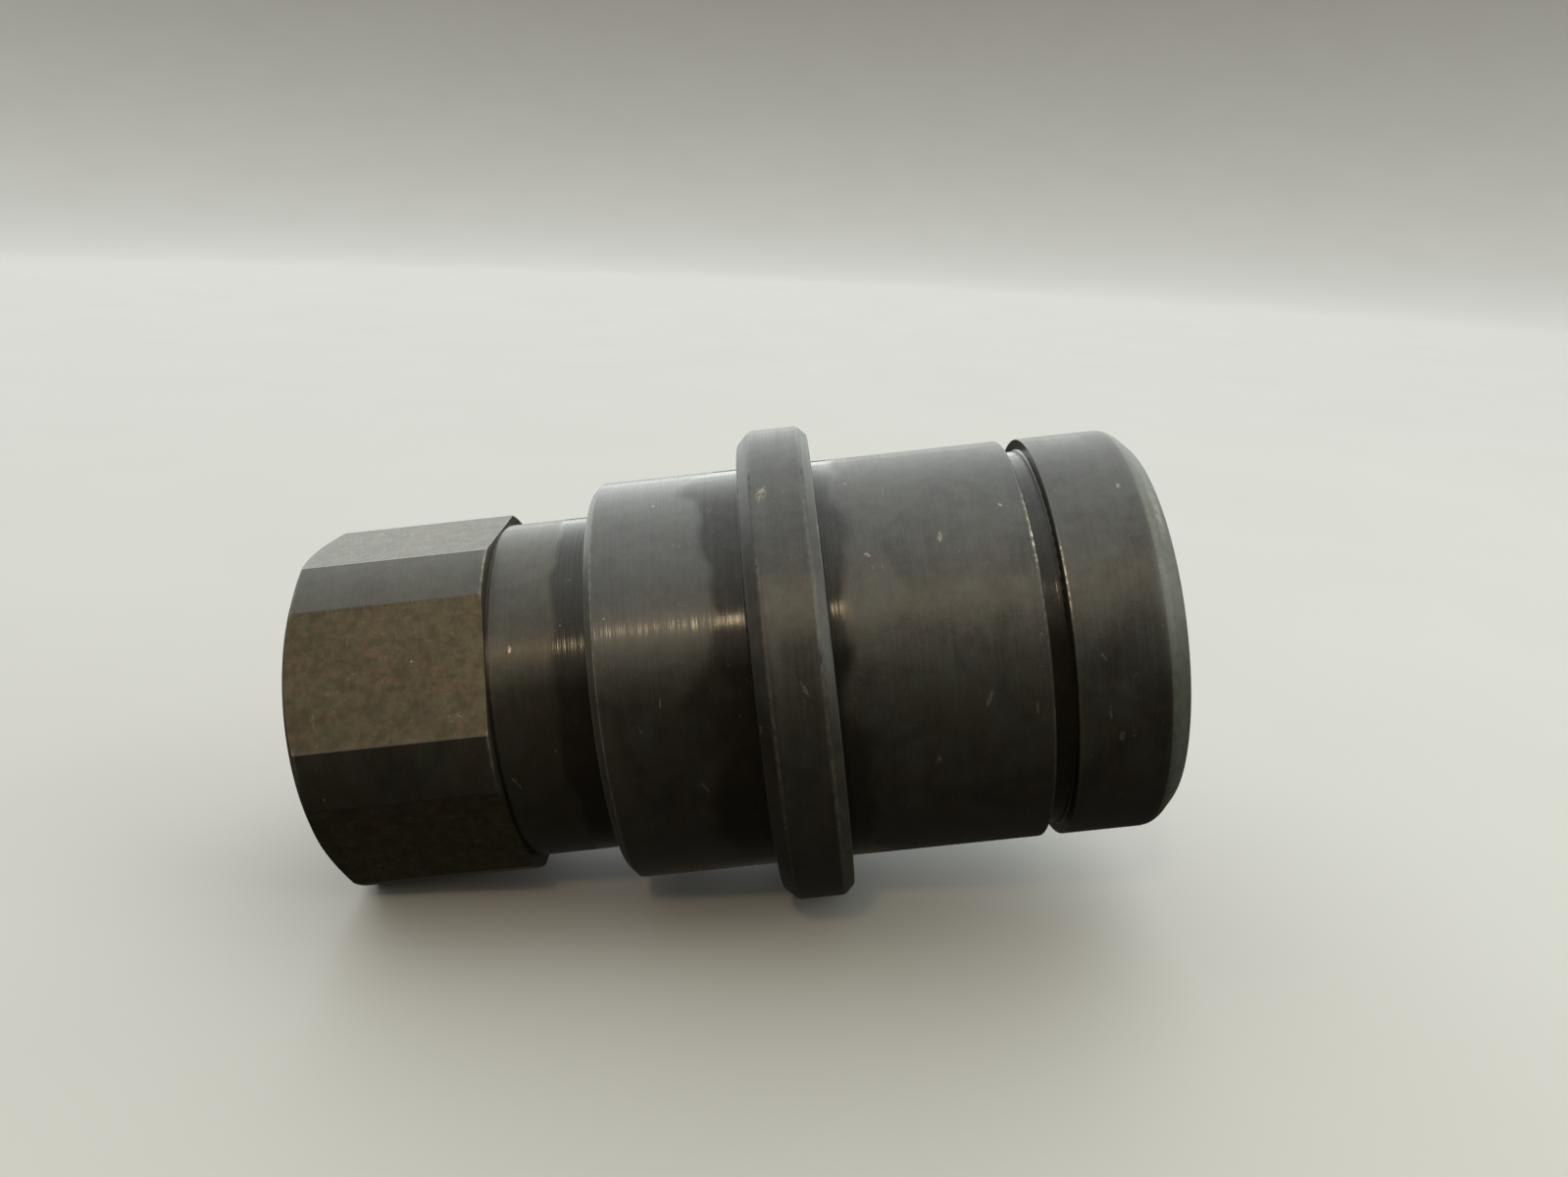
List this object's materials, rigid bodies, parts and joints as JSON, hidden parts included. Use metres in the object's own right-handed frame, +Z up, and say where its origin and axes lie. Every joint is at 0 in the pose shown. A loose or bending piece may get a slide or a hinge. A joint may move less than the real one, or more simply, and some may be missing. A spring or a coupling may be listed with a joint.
{
  "type": "quick disconnect coupler",
  "caption": "Black oxide steel hydraulic quick disconnect coupler: threaded wrench-flat end, necked body, and a flanged pull-back ball-lock sleeve over a valved socket.",
  "frame": {"origin": "on the coupler's axis, in the plane of the sleeve flange's front face", "axes": "+X along the axis, out of the mating socket, away from the wrench flats; +Z up, square to two of the six wrench flats"},
  "size_m": [0.077, 0.045, 0.045],
  "materials": {
    "black_oxide_steel": "turned steel with a worn, lightly oiled black oxide",
    "bright_steel": "zinc plated turned steel",
    "spring_steel": "oiled spring steel",
    "ball_steel": "polished",
    "nitrile_rubber": "satin, oiled",
    "ptfe": "matt white"
  },
  "bodies": {
    "body": {"rear_adapter": "black_oxide_steel", "socket_body": "black_oxide_steel", "sleeve_stop_ring": "spring_steel", "interface_o_ring": "nitrile_rubber", "interface_backup_ring": "ptfe", "body_o_ring": "nitrile_rubber", "valve_guide": "bright_steel", "guide_retaining_ring": "spring_steel", "sleeve_spring": "spring_steel", "poppet_spring": "spring_steel"},
    "sleeve_thrust": {"spring_washer": "spring_steel"},
    "sleeve": {"release_sleeve": "black_oxide_steel"},
    "poppet": {"poppet_head": "bright_steel", "poppet_seal": "nitrile_rubber", "poppet_nose": "bright_steel"},
    "ball_1": {"locking_ball_1": "ball_steel"},
    "ball_2": {"locking_ball_2": "ball_steel"},
    "ball_3": {"locking_ball_3": "ball_steel"},
    "ball_4": {"locking_ball_4": "ball_steel"},
    "ball_5": {"locking_ball_5": "ball_steel"},
    "ball_6": {"locking_ball_6": "ball_steel"},
    "ball_7": {"locking_ball_7": "ball_steel"},
    "ball_8": {"locking_ball_8": "ball_steel"}
  },
  "joints": [
    {"name": "sleeve_slide", "type": "slide", "parent": "body", "child": "sleeve_thrust", "axis": [1, 0, 0], "range_m": [-0.0055, 0], "deforming": ["sleeve_spring"]},
    {"name": "sleeve_turn", "type": "hinge", "parent": "sleeve_thrust", "child": "sleeve", "pos_m": [0, 0, 0], "axis": [1, 0, 0], "continuous": true},
    {"name": "poppet_slide", "type": "slide", "parent": "body", "child": "poppet", "axis": [1, 0, 0], "range_m": [-0.006, 0], "deforming": ["poppet_spring"]},
    {"name": "ball_1_slide", "type": "slide", "parent": "body", "child": "ball_1", "axis": [0, 0, 1], "range_m": [0, 0.001]},
    {"name": "ball_2_slide", "type": "slide", "parent": "body", "child": "ball_2", "axis": [0, -0.7071, 0.7071], "range_m": [0, 0.001]},
    {"name": "ball_3_slide", "type": "slide", "parent": "body", "child": "ball_3", "axis": [0, -1, 0], "range_m": [0, 0.001]},
    {"name": "ball_4_slide", "type": "slide", "parent": "body", "child": "ball_4", "axis": [0, -0.7071, -0.7071], "range_m": [0, 0.001]},
    {"name": "ball_5_slide", "type": "slide", "parent": "body", "child": "ball_5", "axis": [0, 0, -1], "range_m": [0, 0.001]},
    {"name": "ball_6_slide", "type": "slide", "parent": "body", "child": "ball_6", "axis": [0, 0.7071, -0.7071], "range_m": [0, 0.001]},
    {"name": "ball_7_slide", "type": "slide", "parent": "body", "child": "ball_7", "axis": [0, 1, 0], "range_m": [0, 0.001]},
    {"name": "ball_8_slide", "type": "slide", "parent": "body", "child": "ball_8", "axis": [0, 0.7071, 0.7071], "range_m": [0, 0.001]}
  ],
  "couplings": [
    {"joint": "ball_1_slide", "follows": "sleeve_slide", "ratio": -0.18182},
    {"joint": "ball_2_slide", "follows": "sleeve_slide", "ratio": -0.18182},
    {"joint": "ball_3_slide", "follows": "sleeve_slide", "ratio": -0.18182},
    {"joint": "ball_4_slide", "follows": "sleeve_slide", "ratio": -0.18182},
    {"joint": "ball_5_slide", "follows": "sleeve_slide", "ratio": -0.18182},
    {"joint": "ball_6_slide", "follows": "sleeve_slide", "ratio": -0.18182},
    {"joint": "ball_7_slide", "follows": "sleeve_slide", "ratio": -0.18182},
    {"joint": "ball_8_slide", "follows": "sleeve_slide", "ratio": -0.18182}
  ]
}
